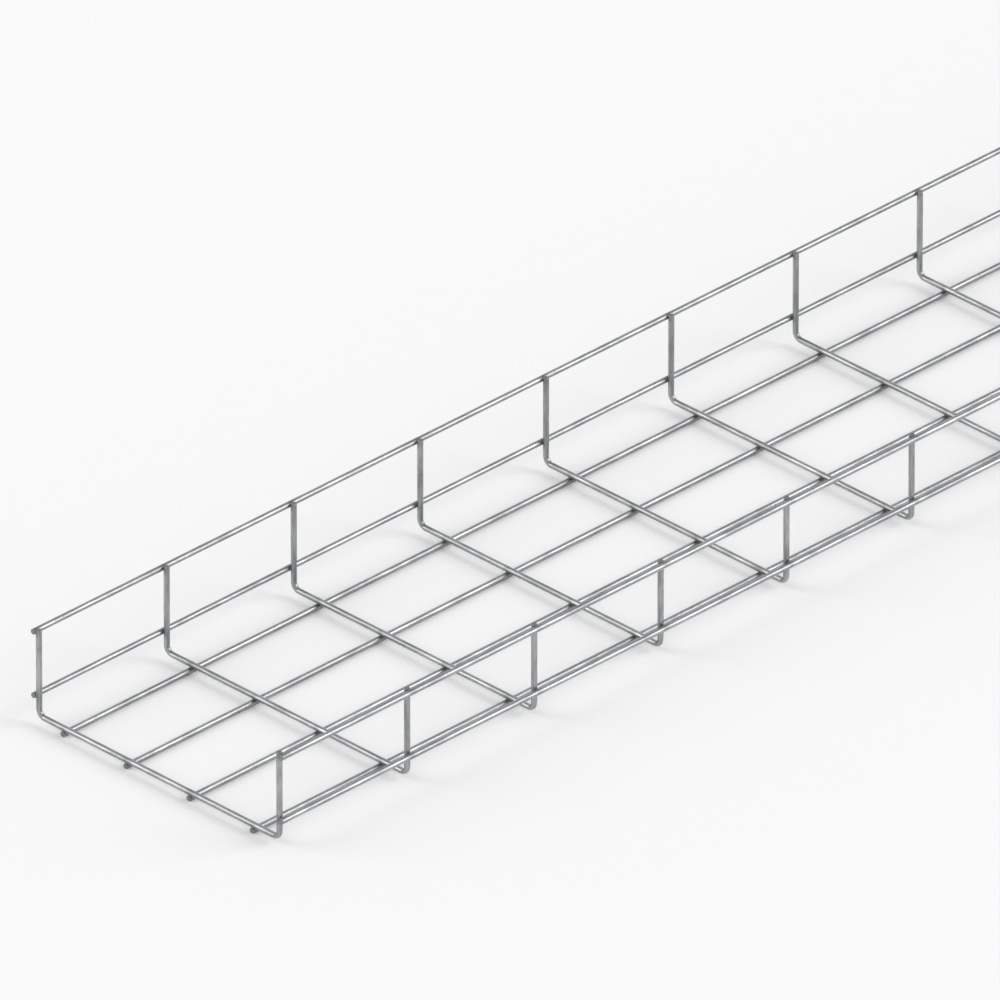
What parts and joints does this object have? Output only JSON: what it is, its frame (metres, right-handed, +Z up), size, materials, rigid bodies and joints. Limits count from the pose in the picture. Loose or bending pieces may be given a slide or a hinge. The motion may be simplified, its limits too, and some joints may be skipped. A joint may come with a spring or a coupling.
{
  "type": "wire mesh cable basket",
  "caption": "Long open-topped basket of welded steel wire mesh with upright sides and a flat floor, which carries runs of data and power cable.",
  "frame": {"origin": "on the floor plane under the floor wires, at the middle of the length and of the width", "axes": "+X along the basket, +Y to its left side, +Z up out of the open top"},
  "size_m": [3.0034, 0.2, 0.06],
  "materials": {
    "zinc_wire": "zinc plated drawn steel wire, satin bright"
  },
  "bodies": {
    "root": {"floor_wire_1": "zinc_wire", "floor_wire_2": "zinc_wire", "floor_wire_3": "zinc_wire", "floor_wire_4": "zinc_wire", "edge_wire_right": "zinc_wire", "side_wire_1_right": "zinc_wire", "edge_wire_left": "zinc_wire", "side_wire_1_left": "zinc_wire", "cross_wire_01": "zinc_wire", "cross_wire_02": "zinc_wire", "cross_wire_03": "zinc_wire", "cross_wire_04": "zinc_wire", "cross_wire_05": "zinc_wire", "cross_wire_06": "zinc_wire", "cross_wire_07": "zinc_wire", "cross_wire_08": "zinc_wire", "cross_wire_09": "zinc_wire", "cross_wire_10": "zinc_wire", "cross_wire_11": "zinc_wire", "cross_wire_12": "zinc_wire", "cross_wire_13": "zinc_wire", "cross_wire_14": "zinc_wire", "cross_wire_15": "zinc_wire", "cross_wire_16": "zinc_wire", "cross_wire_17": "zinc_wire", "cross_wire_18": "zinc_wire", "cross_wire_19": "zinc_wire", "cross_wire_20": "zinc_wire", "cross_wire_21": "zinc_wire", "cross_wire_22": "zinc_wire", "cross_wire_23": "zinc_wire", "cross_wire_24": "zinc_wire", "cross_wire_25": "zinc_wire", "cross_wire_26": "zinc_wire", "cross_wire_27": "zinc_wire", "cross_wire_28": "zinc_wire", "cross_wire_29": "zinc_wire", "cross_wire_30": "zinc_wire", "cross_wire_31": "zinc_wire"}
  },
  "joints": []
}
